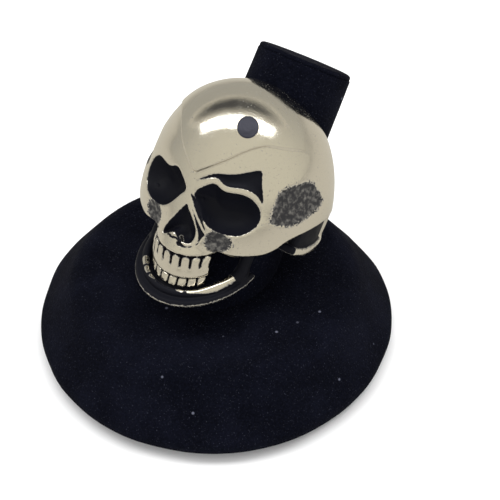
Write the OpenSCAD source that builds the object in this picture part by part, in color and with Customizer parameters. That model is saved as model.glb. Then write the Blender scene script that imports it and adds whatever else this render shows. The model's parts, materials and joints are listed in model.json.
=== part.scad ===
// Skull finger ring on a velvet ring stand.
// +Z is up, the skull faces -Y, and the origin is the centre of the underside.

/* [Base] */
// Outside diameter of the velvet base
base_d = 60; // [54:0.5:80]
// Height of the base, from the table to its flat top
base_h = 13; // [11:0.25:18]
// Diameter of the base at the middle of its rounded shoulder
shoulder_d = 42; // [34:0.5:50]
// Radius of the rounded shoulder
shoulder_r = 4.5; // [3.8:0.1:7]
// Radius of the lower edge
edge_r = 2.4; // [2:0.1:4]
// Thickness of the felt under the base
felt_t = 0.6; // [0.4:0.1:2]
// Width of the velvet hem that is turned under
hem_w = 5; // [3:0.5:8]

/* [Soft layers] */
// Thickness of the velvet
velvet_t = 0.8; // [0.5:0.1:1.2]
// Thickness of the foam under the velvet
foam_t = 1.5; // [0.8:0.1:2.2]

/* [Post] */
// Diameter of the post at its free end, over the velvet
post_end_d = 16.2; // [13:0.1:17]
// Diameter of the post where it meets the base, over the velvet
post_root_d = 17.6; // [14.5:0.1:18]
// Length of the post along its axis, from the top of the base
post_len = 37.2; // [34:0.2:60]
// Lean of the post from upright
post_lean = 40; // [30:1:45]
// Distance of the post's foot behind the centre of the base
post_back = 2.3; // [0:0.1:5]
// Depth of the socket that the core of the post is glued in
socket_depth = 5; // [3:0.25:6]

/* [Screw] */
// Diameter of the screw's shank
screw_d = 3; // [2.5:0.1:3.6]
// Length of the screw under its head
screw_len = 17; // [14:0.5:22]
// Diameter of the screw's head
screw_head_d = 6; // [5:0.1:7.2]
// Height of the screw's head
screw_head_h = 2; // [1.6:0.1:2.4]
// Diameter of the washer
washer_d = 7.4; // [6.2:0.1:9]
// Thickness of the washer
washer_t = 0.6; // [0.4:0.1:0.8]

/* [Ring] */
// Inside diameter of the ring
bore_d = 18.8; // [18.6:0.1:22.6]
// Wall of the band at the back
band_t = 2; // [1.4:0.1:3]
// Width of the band along the finger
band_w = 8.5; // [6:0.25:10.5]
// Width of the ring across the shoulders of the band
shoulder_w = 29.4; // [27:0.2:31]

/* [Skull] */
// Width of the skull at the temples
skull_w = 31.6; // [29:0.2:38]
// Distance from the middle of the finger to the front of the forehead
brow_y = 22.2; // [20:0.2:25]
// Height of the crown above the foot of the post, along the finger
crown_z = 31.2; // [28:0.2:36]
// Diameter of the rounding of the forehead
forehead_d = 22.4; // [18:0.2:26]
// Width of each eye socket
eye_w = 9.2; // [7:0.1:10]
// Height of each eye socket
eye_h = 7.6; // [6:0.1:8.5]
// Depth of the eye sockets
eye_depth = 3.2; // [2:0.1:4.5]
// Width of the nose opening
nose_w = 6.4; // [4.5:0.1:7.5]
// Height of the nose opening
nose_h = 5.8; // [4:0.1:6.6]
// Number of teeth in each row
teeth = 8; // [6:2:10]
// Radius of the rows of teeth, over the teeth
tooth_arc_r = 6.3; // [5.6:0.1:7]
// Radius of the jaw
jaw_r = 10; // [9.6:0.1:11]
// Width of the blackened plaque on the forehead
plaque_w = 3.4; // [2.5:0.1:4.4]
// Height of the blackened plaque
plaque_h = 3.8; // [2.5:0.1:4.6]
// Thickness of the plaque
plaque_t = 0.6; // [0.4:0.1:1]

/* [Hidden] */
$fn = 72;
ROUND_FN = 96;
HULL_FN = 32;
MARGIN = 1;
SEAT_GAP = 0.3;    // between the band and the velvet that it stands on
GLUE_GAP = 0.1;    // around the core of the post in its socket
SOLDER_GAP = 0.03; // between castings that are soldered together
MIN_R = 0.1;

base_r = base_d / 2;
core_floor = felt_t + velvet_t;
hem_r = base_r - edge_r - hem_w;
bore_r = bore_d / 2;
band_r = bore_r + band_t;
post_taper = (post_root_d - post_end_d) / 2 / post_len;

// The lower back edge of the band clears the velvet by SEAT_GAP.
band_z = (band_r * sin(post_lean) + SEAT_GAP) / cos(post_lean);
shoulder_front = 7.2;  // how far the shoulders of the band reach forwards

screw_seat = -socket_depth - 2.6; // the face that the washer bears on
screw_tip = 3;

skull_back = 2;        // plane behind the temples where the skull meets the band
temple_y = 4.7;        // centre of the temples, in front of the finger
temple_z = 11.4;
temple_r = skull_w / 2;
forehead_r = forehead_d / 2;
face_y = temple_y + temple_r;
under_z = 4.2;         // underside of the cheeks, at the face
under_slope = 30;      // the underside climbs towards the back
cheek_r = 3.6;
eye_x = 6;
eye_z = 11.8;
eye_turn = 22;         // each socket faces outwards
eye_y = face_y - 1.9;  // face at the middle of a socket
nose_z = 4.3;
nose_depth = 3.5;
temple_hollow_r = 5;
temple_hollow_depth = 0.8;

gum_y = face_y - 1.1;  // front of the upper gum
gum_z = 2;
upper_lean = 22;       // the upper row rises towards the back
arc_y = gum_y - tooth_arc_r; // centre of the upper jaw
tooth_span = 125;      // degrees of arc that a row of teeth covers
tooth_gap = 0.25;
tooth_groove = 0.6;
tooth_t = 1.8;
gum_step = 0.45;       // the teeth stand proud of the gum
upper_tooth_h = 2.9;
lower_tooth_z = -4.9;
lower_tooth_h = 3.3;
lower_arc_y = arc_y - 1.9;

jaw_y = arc_y - 3.8;   // centre of the tilted arc of the jaw
jaw_z = 0.3;
jaw_tilt = 38;
jaw_h = 3.2;
jaw_t = 1.9;
jaw_floor = 1.4;
jaw_back = 1.2;
jaw_floor_back = -2.4;
ramus_r = 1.5;
ramus_in = 0.9;       // from the middle of each branch to the outside of the jaw

plaque_turn = 27;
plaque_rise = 25;

// ---- helpers ----

// Places children in the frame of the post: +Z along its axis, -Y out of the skull's face.
module on_post() {
    translate([0, post_back, base_h]) rotate([-post_lean, 0, 0]) children();
}

function arc(c, r, from, to, steps = 8) =
    [for (i = [0:steps]) let (a = from + (to - from) * i / steps) c + r * [cos(a), sin(a)]];

// Half outline of the base, d inside its velvet, from its underside to its top.
function base_outline(d, floor_z) =
    let (low = [base_r - edge_r, felt_t + edge_r],
         high = [shoulder_d / 2, base_h - shoulder_r],
         v = high - low,
         low_r = max(edge_r - d, MIN_R),
         high_r = max(shoulder_r - d, MIN_R),
         slope = atan2(v[1], v[0]) - acos((low_r - high_r) / norm(v)),
         lowest = low[1] - low_r,
         from = floor_z > lowest ? -asin((low[1] - floor_z) / low_r) : -90)
    concat([[0, floor_z]], arc(low, low_r, from, slope), arc(high, high_r, slope, 90),
           [[0, high[1] + high_r]]);

module base_solid(d, floor_z) {
    rotate_extrude($fn = ROUND_FN) polygon(base_outline(d, floor_z));
}

function post_r(z) = post_end_d / 2 + (post_len - z) * post_taper;

// A length of the tapered post, inset from its velvet.
module post_cone(z0, z1, inset) {
    translate([0, 0, z0]) cylinder(h = z1 - z0, r1 = post_r(z0) - inset, r2 = post_r(z1) - inset);
}

// The socket in the base for the core of the post.
module post_socket() {
    on_post() translate([0, 0, -socket_depth])
        cylinder(h = base_h, r = post_r(-socket_depth) - velvet_t + GLUE_GAP);
}

// The opening that the velvet hem leaves under the base.
module hem_opening(r, z1) {
    translate([0, 0, -MARGIN]) cylinder(h = z1 + MARGIN, r = r, $fn = ROUND_FN);
}

// ---- stand ----

module base_core() {
    color("burlywood") difference() {
        union() {
            base_solid(velvet_t + foam_t, core_floor);
            translate([0, 0, felt_t]) cylinder(h = velvet_t + MARGIN, r = hem_r - GLUE_GAP, $fn = ROUND_FN);
        }
        post_socket();
        on_post() {
            translate([0, 0, screw_seat - MARGIN]) cylinder(h = base_h, d = screw_d + 0.6);
            translate([0, 0, screw_seat - 2 * base_h]) cylinder(h = 2 * base_h, d = washer_d + 0.6);
        }
    }
}

module base_foam() {
    color("gray") difference() {
        base_solid(velvet_t, core_floor);
        base_solid(velvet_t + foam_t, core_floor);
        hem_opening(hem_r, core_floor + MARGIN);
        post_socket();
    }
}

module base_velvet() {
    color("black") difference() {
        base_solid(0, felt_t);
        base_solid(velvet_t, core_floor);
        hem_opening(hem_r, core_floor + MARGIN);
        post_socket();
    }
}

module base_felt() {
    color("dimgray") cylinder(h = felt_t, r = base_r - edge_r + 0.4, $fn = ROUND_FN);
}

module post_core() {
    color("tan") on_post() difference() {
        post_cone(-socket_depth, post_len - velvet_t, velvet_t);
        translate([0, 0, -socket_depth - MARGIN]) cylinder(h = screw_len - screw_tip + MARGIN, d = screw_d + 0.1);
    }
}

// The sleeve, trimmed flat where it meets the velvet of the base.
module post_velvet() {
    color("black") difference() {
        on_post() difference() {
            post_cone(-base_h, post_len - velvet_t, 0);
            post_cone(-base_h - MARGIN, post_len, velvet_t);
        }
        translate([0, 0, base_h - base_d]) cube(2 * base_d, center = true);
    }
}

module post_end_disc() {
    r = post_r(post_len - velvet_t);
    color("black") on_post() translate([0, 0, post_len - velvet_t])
        rotate_extrude() polygon(concat([[0, 0]], arc([r - velvet_t, 0], velvet_t, 0, 90), [[0, velvet_t]]));
}

module post_screw() {
    head_z = screw_seat - washer_t;
    color("silver") on_post() difference() {
        union() {
            translate([0, 0, head_z - screw_head_h]) cylinder(h = screw_head_h, d = screw_head_d);
            translate([0, 0, head_z - MARGIN]) cylinder(h = screw_len - screw_tip + MARGIN, d = screw_d);
            translate([0, 0, head_z + screw_len - screw_tip]) cylinder(h = screw_tip, d1 = screw_d, d2 = 0.4);
        }
        for (a = [0, 90]) rotate([0, 0, a]) translate([0, 0, head_z - screw_head_h])
            cube([screw_head_d * 0.55, 0.9, 2], center = true);
    }
}

module screw_washer() {
    color("silver") on_post() translate([0, 0, screw_seat - washer_t]) difference() {
        cylinder(h = washer_t, d = washer_d);
        translate([0, 0, -MARGIN]) cylinder(h = washer_t + 2 * MARGIN, d = screw_d + 0.2);
    }
}

// ---- ring, in the frame of the post ----

module finger_bore() {
    translate([0, 0, -2 * crown_z]) cylinder(h = 4 * crown_z, r = bore_r);
}

// The space over the sloping underside of the skull.
module over_underside() {
    translate([0, -face_y, under_z]) rotate([under_slope, 0, 0])
        translate([-2 * skull_w, -2 * skull_w, 0]) cube(4 * skull_w);
}

// The space under it, gap lower.
module under_skull(gap) {
    translate([0, -face_y, under_z - gap]) rotate([under_slope, 0, 0])
        translate([-2 * skull_w, -2 * skull_w, -4 * skull_w]) cube(4 * skull_w);
}

// A band of radius r round the finger, reaching up to z1.
module band_space(r, z1) {
    translate([0, 0, band_z]) cylinder(h = z1 - band_z, r = r);
}

// The band, with a shoulder on each side that fills the space under the skull.
module ring_band() {
    color("silver") on_post() difference() {
        union() {
            band_space(band_r, band_z + band_w);
            intersection() {
                translate([0, -temple_y, band_z]) cylinder(h = crown_z, r = shoulder_w / 2);
                translate([-skull_w, -shoulder_front, 0]) cube([2 * skull_w, shoulder_front + skull_back, crown_z]);
                under_skull(SOLDER_GAP);
            }
        }
        finger_bore();
    }
}

module cranium() {
    hull() {
        translate([0, -temple_y, temple_z]) sphere(r = temple_r, $fn = HULL_FN);
        translate([0, -temple_y - 1.5, temple_z + 4.2]) sphere(r = temple_r - 1.6, $fn = HULL_FN);
        translate([0, forehead_r - brow_y, crown_z - forehead_r]) sphere(r = forehead_r, $fn = HULL_FN);
    }
    for (s = [-1, 1]) translate([s * 10.2, -temple_y - 7.6, 8.3]) sphere(r = cheek_r);
}

// The upper jaw that carries the teeth.
module maxilla() {
    translate([0, -arc_y, gum_z]) cylinder(h = eye_z - gum_z, r = tooth_arc_r - gum_step);
}

module eye_sockets() {
    for (s = [-1, 1]) translate([s * eye_x, -eye_y, eye_z]) rotate([90, 0, s * eye_turn])
        translate([0, 0, -eye_depth]) hull() for (k = [-1, 1])
            translate([k * (eye_w - eye_h) / 2, 0, 0]) cylinder(h = 2 * eye_depth + 4, d = eye_h, $fn = HULL_FN);
}

// An upside-down heart.
module nose_hollow() {
    side = [[0.28, 0.55], [0.5, 0.14], [0.36, 0], [0.16, 0.03]];
    translate([0, nose_depth - face_y, nose_z]) rotate([90, 0, 0]) linear_extrude(height = 2 * nose_depth)
        polygon(concat([[0, nose_h]], [for (p = side) [p[0] * nose_w, p[1] * nose_h]], [[0, 0.2 * nose_h]],
                       [for (i = [3:-1:0]) [-side[i][0] * nose_w, side[i][1] * nose_h]]));
}

module temple_hollows() {
    for (s = [-1, 1]) translate([s * (temple_r + temple_hollow_r - temple_hollow_depth) * 0.83,
                                 -temple_y - (temple_r + temple_hollow_r - temple_hollow_depth) * 0.5, temple_z + 4])
        sphere(r = temple_hollow_r);
}

// The seat of the plaque: a flat pocket in the rounding of the forehead.
module on_forehead() {
    translate([0, forehead_r - brow_y, crown_z - forehead_r]) rotate([90 - plaque_rise, 0, plaque_turn])
        translate([0, 0, forehead_r - plaque_t]) children();
}

module oval(gap, h) {
    linear_extrude(height = h) scale([1, (plaque_h + 2 * gap) / (plaque_w + 2 * gap)]) circle(d = plaque_w + 2 * gap);
}

// A row of teeth: part of a ring, with a groove between each tooth and the next.
module teeth_row(h) {
    difference() {
        cylinder(h = h, r = tooth_arc_r);
        translate([0, 0, -MARGIN]) cylinder(h = h + 2 * MARGIN, r = tooth_arc_r - tooth_t);
        translate([-skull_w, -tooth_arc_r * cos(tooth_span / 2), -skull_w]) cube(2 * skull_w);
        for (i = [1:teeth - 1]) rotate([0, 0, (i - teeth / 2) * tooth_span / teeth])
            translate([-tooth_gap / 2, -2 * tooth_arc_r, -MARGIN])
                cube([tooth_gap, tooth_arc_r + tooth_groove, h + 2 * MARGIN]);
    }
}

module skull_head() {
    color("silver") on_post() difference() {
        union() {
            difference() {
                union() {
                    intersection() {
                        cranium();
                        over_underside();
                    }
                    maxilla();
                }
                eye_sockets();
                nose_hollow();
                temple_hollows();
                on_forehead() oval(SOLDER_GAP, 2 * plaque_t);
            }
            translate([0, -gum_y, gum_z]) rotate([upper_lean, 0, 0])
                translate([0, tooth_arc_r, -upper_tooth_h]) teeth_row(upper_tooth_h + 1.5 * MARGIN);
        }
        finger_bore();
        band_space(band_r + SOLDER_GAP, band_z + band_w + SOLDER_GAP);
        translate([-2 * skull_w, skull_back, -skull_w]) cube(4 * skull_w);
    }
}

// The jaw: a tilted arc with its own row of teeth, and two branches up to the cheeks.
module lower_jaw() {
    color("silver") on_post() difference() {
        intersection() {
            union() {
                translate([0, -jaw_y, jaw_z]) rotate([jaw_tilt, 0, 0]) {
                    difference() {
                        cylinder(h = jaw_h, r = jaw_r);
                        translate([0, 0, -MARGIN]) cylinder(h = jaw_h + 2 * MARGIN, r = jaw_r - jaw_t);
                        translate([-skull_w, jaw_back, -MARGIN]) cube(2 * skull_w);
                    }
                    difference() {
                        cylinder(h = jaw_floor, r = jaw_r - jaw_t / 2);
                        translate([-skull_w, jaw_floor_back, -MARGIN]) cube(2 * skull_w);
                    }
                }
                translate([0, -lower_arc_y, lower_tooth_z]) teeth_row(lower_tooth_h);
                for (s = [-1, 1]) translate([s * (jaw_r - ramus_in), -jaw_y, jaw_z + 0.6])
                    cylinder(h = crown_z, r = ramus_r);
            }
            under_skull(SOLDER_GAP);
        }
        finger_bore();
        band_space(band_r + SOLDER_GAP, crown_z);
    }
}

module forehead_plaque() {
    color("dimgray") on_post() on_forehead() oval(0, plaque_t);
}

base_core();
base_foam();
base_velvet();
base_felt();
post_core();
post_velvet();
post_end_disc();
post_screw();
screw_washer();
ring_band();
skull_head();
lower_jaw();
forehead_plaque();
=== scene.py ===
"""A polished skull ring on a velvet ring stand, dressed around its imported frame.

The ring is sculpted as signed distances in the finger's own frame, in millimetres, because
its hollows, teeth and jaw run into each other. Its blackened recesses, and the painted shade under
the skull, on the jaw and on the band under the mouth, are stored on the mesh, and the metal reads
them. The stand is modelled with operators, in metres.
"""

import json
import logging
import math
from collections.abc import Callable
from dataclasses import dataclass, field
from enum import Enum

import bpy
import numpy as np
import openvdb
from mathutils import Euler, Matrix, Vector

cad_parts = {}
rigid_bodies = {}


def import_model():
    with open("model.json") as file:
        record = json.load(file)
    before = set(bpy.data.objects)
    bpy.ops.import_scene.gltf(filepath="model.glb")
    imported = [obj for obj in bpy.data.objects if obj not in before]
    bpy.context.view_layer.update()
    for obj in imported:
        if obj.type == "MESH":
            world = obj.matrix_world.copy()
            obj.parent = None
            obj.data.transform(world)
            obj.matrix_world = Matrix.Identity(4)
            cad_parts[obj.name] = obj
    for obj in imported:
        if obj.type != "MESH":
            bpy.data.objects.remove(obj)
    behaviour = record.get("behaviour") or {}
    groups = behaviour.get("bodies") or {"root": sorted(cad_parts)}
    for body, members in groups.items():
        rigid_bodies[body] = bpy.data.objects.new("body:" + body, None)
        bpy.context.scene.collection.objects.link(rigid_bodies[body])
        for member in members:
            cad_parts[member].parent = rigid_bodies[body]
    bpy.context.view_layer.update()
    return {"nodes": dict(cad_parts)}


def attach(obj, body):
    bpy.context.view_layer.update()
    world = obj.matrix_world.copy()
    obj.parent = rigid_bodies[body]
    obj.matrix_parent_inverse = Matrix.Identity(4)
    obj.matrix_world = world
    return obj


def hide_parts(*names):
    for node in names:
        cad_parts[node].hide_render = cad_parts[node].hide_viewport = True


MM = 0.001
FAR = 99.0
SEED = 7
LOG = logging.getLogger("skull_ring")

Array = np.ndarray
Points = list[tuple[float, float]]


class Body(Enum):
    """The bodies of the frame."""

    STAND = "stand"
    RING = "ring"


class Slot(Enum):
    """The material slots of the record."""

    VELVET = "velvet"
    FOAM = "foam"
    FELT = "felt"
    WOOD = "core_wood"
    RING = "ring_steel"
    BLACK = "blackened_steel"
    SCREW = "screw_steel"


# ---------------------------------------------------------------- the finger's frame


@dataclass(frozen=True)
class FingerFrame:
    """The frame of the leaning post: x to the skull's left, n out of its face, u along the finger."""

    lean_deg: float = 40.0
    foot_y: float = 2.3
    foot_z: float = 13.0

    def matrix(self) -> Matrix:
        """The step from (x, -n, u) in millimetres to the row frame in metres."""
        place = Matrix.Translation(Vector((0.0, self.foot_y, self.foot_z)) * MM)
        return place @ Euler((-math.radians(self.lean_deg), 0, 0)).to_matrix().to_4x4() @ Matrix.Scale(MM, 4)

    def along(self, distance: float) -> Vector:
        """A point on the post's axis, that many millimetres from its foot, in metres."""
        return self.matrix() @ Vector((0.0, 0.0, distance))


FINGER = FingerFrame()


# ---------------------------------------------------------------- distances


def smooth_min(a: Array, b: Array, k: float) -> Array:
    """The union of two distances, blended over a width k."""
    h = np.clip(0.5 + 0.5 * (b - a) / k, 0.0, 1.0)
    return b + (a - b) * h - k * h * (1.0 - h)


def smooth_max(a: Array, b: Array, k: float) -> Array:
    """The part that two distances share, blended over a width k."""
    return -smooth_min(-a, -b, k)


def smooth_step(low: float, high: float, value: Array) -> Array:
    """Zero below low, one above high, and a smooth rise between them."""
    t = np.clip((value - low) / (high - low), 0.0, 1.0)
    return t * t * (3.0 - 2.0 * t)


def ball(x: Array, n: Array, u: Array, centre: tuple[float, float, float], radius: float) -> Array:
    """The distance to a ball."""
    return np.sqrt((x - centre[0]) ** 2 + (n - centre[1]) ** 2 + (u - centre[2]) ** 2) - radius


def round_cone(x: Array, n: Array, u: Array, low: tuple[float, float, float],
               high: tuple[float, float, float]) -> Array:
    """The distance to two balls on the midline and the skin stretched over them.

    Args:
        x: Positions across the face.
        n: Positions out of the face.
        u: Positions along the finger.
        low: The n, u and radius of the lower ball.
        high: The n, u and radius of the upper ball.

    Returns:
        The signed distances.
    """
    dn, du = high[0] - low[0], high[1] - low[1]
    length = math.hypot(dn, du)
    along = ((n - low[0]) * dn + (u - low[1]) * du) / length
    across = np.sqrt(np.maximum((n - low[0]) ** 2 + (u - low[1]) ** 2 - along**2, 0.0) + x**2)
    fall = (low[2] - high[2]) / length
    rise = math.sqrt(1.0 - fall * fall)
    k = across * -fall + along * rise
    side = across * rise + along * fall - low[2]
    bottom = np.hypot(across, along) - low[2]
    top = np.hypot(across, along - length) - high[2]
    return np.where(k < 0.0, bottom, np.where(k > rise * length, top, side))


def curve_points(points: Points, steps: int = 6, closed: bool = True) -> Array:
    """A smooth curve through a few points.

    Args:
        points: The points that the curve passes.
        steps: How many pieces each stretch is cut into.
        closed: Whether the last point joins the first.

    Returns:
        The curve's points, one row each.
    """
    p = np.array(points, float)
    if closed:
        p = np.vstack([p[-1], p, p[:2]])
    else:
        p = np.vstack([2 * p[0] - p[1], p, 2 * p[-1] - p[-2]])
    t = np.linspace(0.0, 1.0, steps, endpoint=False)[:, None]
    pieces = []
    for a, b, c, d in zip(p[:-3], p[1:-2], p[2:-1], p[3:]):
        pieces.append(0.5 * (2 * b + (c - a) * t + (2 * a - 5 * b + 4 * c - d) * t**2
                             + (3 * b - a - 3 * c + d) * t**3))
    if not closed:
        pieces.append(p[-2:-1])
    return np.vstack(pieces)


def line_distance(s: Array, z: Array, curve: Array, closed: bool) -> Array:
    """The distance to a curve on the chart, negative inside a closed one.

    Args:
        s: Arcs on the chart.
        z: Heights on the chart.
        curve: The curve's points.
        closed: Whether the last point joins the first.

    Returns:
        The distances, negative inside a closed curve.
    """
    ends = np.roll(curve, -1, axis=0) if closed else curve[1:]
    best = np.full(s.shape, 1e9)
    inside = np.zeros(s.shape, bool)
    for (s0, z0), (s1, z1) in zip(curve, ends):
        ds, dz = s1 - s0, z1 - z0
        t = np.clip(((s - s0) * ds + (z - z0) * dz) / max(ds * ds + dz * dz, 1e-9), 0.0, 1.0)
        best = np.minimum(best, (s - s0 - t * ds) ** 2 + (z - z0 - t * dz) ** 2)
        if closed and dz != 0.0:
            inside ^= ((z0 > z) != (z1 > z)) & (s < ds * (z - z0) / dz + s0)
    return np.where(inside, -1.0, 1.0) * np.sqrt(best)


@dataclass
class Chart:
    """The dome unrolled: s is the arc from the midline at the temples' radius, z is along the finger."""

    s_range: tuple[float, float] = (-42.0, 42.0)
    z_range: tuple[float, float] = (-10.0, 34.0)
    step: float = 0.12

    def grid(self) -> tuple[Array, Array]:
        """The chart's sample places.

        Returns:
            The arcs and the heights.
        """
        s = np.arange(self.s_range[0], self.s_range[1] + self.step, self.step)
        z = np.arange(self.z_range[0], self.z_range[1] + self.step, self.step)
        return np.meshgrid(s, z, indexing="ij")

    def sample(self, table: Array, s: Array, z: Array) -> Array:
        """The table's values at any places, by linear steps between its samples.

        Args:
            table: One of the tables of distances.
            s: Arcs on the chart.
            z: Heights on the chart.

        Returns:
            The values at those places.
        """
        a = np.clip((s - self.s_range[0]) / self.step, 0, table.shape[0] - 1.001)
        b = np.clip((z - self.z_range[0]) / self.step, 0, table.shape[1] - 1.001)
        i, j = a.astype(int), b.astype(int)
        a, b = a - i, b - j
        return ((table[i, j] * (1 - b) + table[i, j + 1] * b) * (1 - a)
                + (table[i + 1, j] * (1 - b) + table[i + 1, j + 1] * b) * a)


@dataclass
class SkullSculpt:
    """The shapes of the skull ring, in millimetres in the finger's frame."""

    bore_r: float = 9.4
    band_r: float = 11.4
    solder_gap: float = 0.03
    band_z: tuple[float, float] = (9.96, 18.46)
    temple: tuple[float, float, float] = (4.7, 11.4, 15.8)
    parietal: tuple[float, float, float] = (6.0, 16.8, 14.5)
    forehead: tuple[float, float, float] = (11.0, 20.0, 11.2)
    back_n: float = -2.0
    arch_r: float = 6.3
    tooth_deg: float = 15.5
    gum_u: float = 1.75
    arch_rise: float = 0.66
    pits: tuple[tuple[str, float, float], ...] = (("eye", 3.4, 1.3), ("nose", 2.4, 0.9), ("brow", 0.9, 0.5))
    chart: Chart = field(default_factory=Chart)
    tables: dict[str, Array] = field(default_factory=dict)

    EYE = [(0.8, 12.3), (2.3, 14.2), (3.5, 14.9), (5.2, 14.4), (7.8, 14.9), (9.7, 14.6), (11.4, 13.3),
           (11.9, 11.4), (10.9, 9.4), (9.2, 8.2), (7.0, 7.7), (4.8, 7.9), (3.1, 8.9), (1.6, 10.8)]
    NOSE = [(0.0, 10.0), (-1.4, 7.7), (-3.1, 5.0), (-3.2, 3.9), (-2.2, 4.1), (-0.7, 4.9), (0.6, 4.1),
            (2.3, 4.1), (3.0, 5.1), (2.9, 6.6), (1.9, 8.1), (0.6, 9.5)]
    BROW = [(0.3, 13.8), (1.6, 15.3), (3.2, 16.5), (5.5, 17.4), (7.3, 18.5), (9.1, 19.4), (9.9, 17.6),
            (11.2, 14.9), (11.2, 14.5), (9.8, 15.5), (7.8, 15.8), (5.2, 15.2), (3.4, 15.8), (1.7, 14.9)]
    TEMPLE = [(14.2, 18.5), (13.0, 17.1), (12.9, 15.2), (13.3, 12.3), (14.8, 12.0), (16.8, 12.2), (18.8, 13.3),
              (20.8, 15.0), (22.9, 16.7), (23.2, 18.0), (21.4, 19.2), (18.8, 20.4), (16.5, 19.6)]
    PATCH = [(4.6, 6.6), (4.9, 4.9), (6.4, 4.2), (8.0, 4.7), (9.2, 5.6), (9.3, 7.2), (7.6, 8.0), (5.8, 7.9)]
    BONE_A = [(0.1, 10.9), (0.9, 9.6), (1.8, 8.3), (2.6, 7.2), (3.2, 6.1), (3.4, 5.2), (3.0, 4.3), (2.1, 3.8),
              (1.3, 4.0), (0.4, 4.7)]
    BONE_B = [(0.2, 11.4), (1.3, 10.0), (2.5, 8.6), (3.6, 7.5), (4.7, 6.6)]
    BONE_DARK = [(0.3, 11.9), (0.7, 10.6), (1.6, 9.1), (2.7, 7.4), (3.5, 6.0), (3.7, 5.0), (3.2, 3.9),
                 (2.0, 3.3), (0.6, 3.2), (0.3, 3.8), (1.5, 3.9), (3.6, 4.2), (4.2, 5.8), (4.6, 6.9),
                 (3.4, 8.6), (1.9, 10.8)]
    CREASE = [(0.3, 15.3), (2.1, 17.0), (4.0, 19.0), (5.6, 20.9), (7.0, 22.2), (8.6, 23.1), (11.0, 23.5),
              (15.0, 24.0)]
    UNDERSIDE = [(4.0, 4.4), (7.7, 4.7), (10.4, 4.8), (14.5, 6.3), (16.5, 7.9), (18.2, 10.1), (21.3, 12.2),
                 (25.8, 14.3), (31.5, 15.9), (42.0, 17.0)]

    def __post_init__(self) -> None:
        """Measures the chart's outlines once."""
        s, z = self.chart.grid()
        near = np.abs(s)
        self.tables["eye"] = line_distance(near, z, curve_points(self.EYE), True)
        self.tables["nose"] = line_distance(s, z, curve_points(self.NOSE, 4), True)
        self.tables["brow"] = line_distance(s, z, curve_points(self.BROW), True)
        self.tables["temple"] = line_distance(near, z, curve_points(self.TEMPLE), True)
        self.tables["patch"] = line_distance(near, z, curve_points(self.PATCH), True)
        self.tables["bone_a"] = line_distance(s, z, curve_points(self.BONE_A, closed=False), False)
        self.tables["bone_b"] = line_distance(s, z, curve_points(self.BONE_B, closed=False), False)
        self.tables["bone_dark"] = line_distance(s, z, curve_points(self.BONE_DARK), True)
        crease = curve_points(self.CREASE, closed=False)
        self.tables["crease"] = z - np.interp(near, crease[:, 0], crease[:, 1])
        under = curve_points(self.UNDERSIDE, closed=False)
        self.tables["under"] = np.interp(near, under[:, 0], under[:, 1]) - z

    def chart_place(self, x: Array, n: Array) -> Array:
        """The arc on the chart of places on the skull."""
        return self.temple[2] * np.arctan2(x, n - self.temple[0])

    def look(self, name: str, s: Array, u: Array) -> Array:
        """The distance to one of the chart's outlines."""
        return self.chart.sample(self.tables[name], s, u)

    def arch_centre(self, u: Array) -> Array:
        """Where the rows of teeth are centred, which lies further back lower down."""
        return np.interp(u, [-8.0, -3.2, -1.9, 1.9, 10.0], [10.8, 11.0, 11.3, 13.0, 14.2])

    def arch_place(self, x: Array, n: Array, u: Array) -> tuple[Array, Array, Array]:
        """The angle, the radius and the levelled height of places about the rows of teeth.

        Args:
            x: Positions across the face.
            n: Positions out of the face.
            u: Positions along the finger.

        Returns:
            The angles, radii and levelled heights.
        """
        centre = self.arch_centre(u)
        angle = np.degrees(np.arctan2(x, n - centre))
        radius = np.hypot(x, n - centre)
        level = u - self.arch_rise * np.clip(centre + self.arch_r - n, 0.0, 8.0)
        return angle, radius, level

    def tooth_gap(self, angle: Array, level: Array, low: float, high: float, half: float,
                  round_r: float) -> Array:
        """The distance on the arch to the nearest tooth of a row, negative on the tooth.

        Args:
            angle: Angles round the rows of teeth, in degrees.
            level: Levelled heights on the rows of teeth.
            low: The lower end.
            high: The upper end.
            half: Half of a tooth's width.
            round_r: The radius of a tooth's corners.

        Returns:
            The distances to the nearest tooth.
        """
        turn = angle / self.tooth_deg
        index = np.clip(np.floor(turn), -4, 3)
        arc = (turn - index - 0.5) * math.radians(self.tooth_deg) * self.arch_r
        middle = 0.5 * (low + high)
        a = np.abs(arc) - half + round_r
        b = np.abs(level - middle) - 0.5 * (high - low) + round_r
        return np.hypot(np.maximum(a, 0), np.maximum(b, 0)) + np.minimum(np.maximum(a, b), 0) - round_r

    def upper_teeth(self, angle: Array, level: Array) -> Array:
        """The distance on the arch to the upper teeth, which run together along their lower edge.

        Args:
            angle: Angles round the rows of teeth, in degrees.
            level: Levelled heights on the rows of teeth.

        Returns:
            The distances on the arch.
        """
        row = self.tooth_gap(angle, level, -1.95, self.gum_u - 0.25, 0.6, 0.55)
        edge = np.maximum(np.abs(level + 1.2) - 0.8, np.abs(angle) - 61.0)
        return smooth_min(row, edge, 0.35)

    def lower_teeth(self, angle: Array, level: Array) -> Array:
        """The distance on the arch to the lower teeth."""
        return self.tooth_gap(angle, level, -3.75, -2.35, 0.66, 0.3)

    def dome(self, x: Array, n: Array, u: Array, s: Array) -> Array:
        """The distance to the polished cranium, with its raised forehead.

        Args:
            x: Positions across the face.
            n: Positions out of the face.
            u: Positions along the finger.
            s: Arcs on the chart.

        Returns:
            The signed distances.
        """
        core = round_cone(x, n, u, self.temple, self.forehead)
        core = smooth_min(core, ball(x, n, u, (0.0, *self.parietal[:2]), self.parietal[2]), 2.5)
        crease = self.look("crease", s, u)
        raised = smooth_step(-0.1, 0.5, crease) * (1 - smooth_step(22.0, 31.0, u))
        raised = raised * (1 - smooth_step(7.5, 13.5, np.abs(x))) * smooth_step(7.0, 15.0, n)
        brow = np.exp(-((u - 16.2) ** 2) / 6.0) * np.exp(-((np.abs(s) - 6.0) ** 2) / 30.0)
        return core - 0.55 * raised - 0.25 * brow

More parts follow.
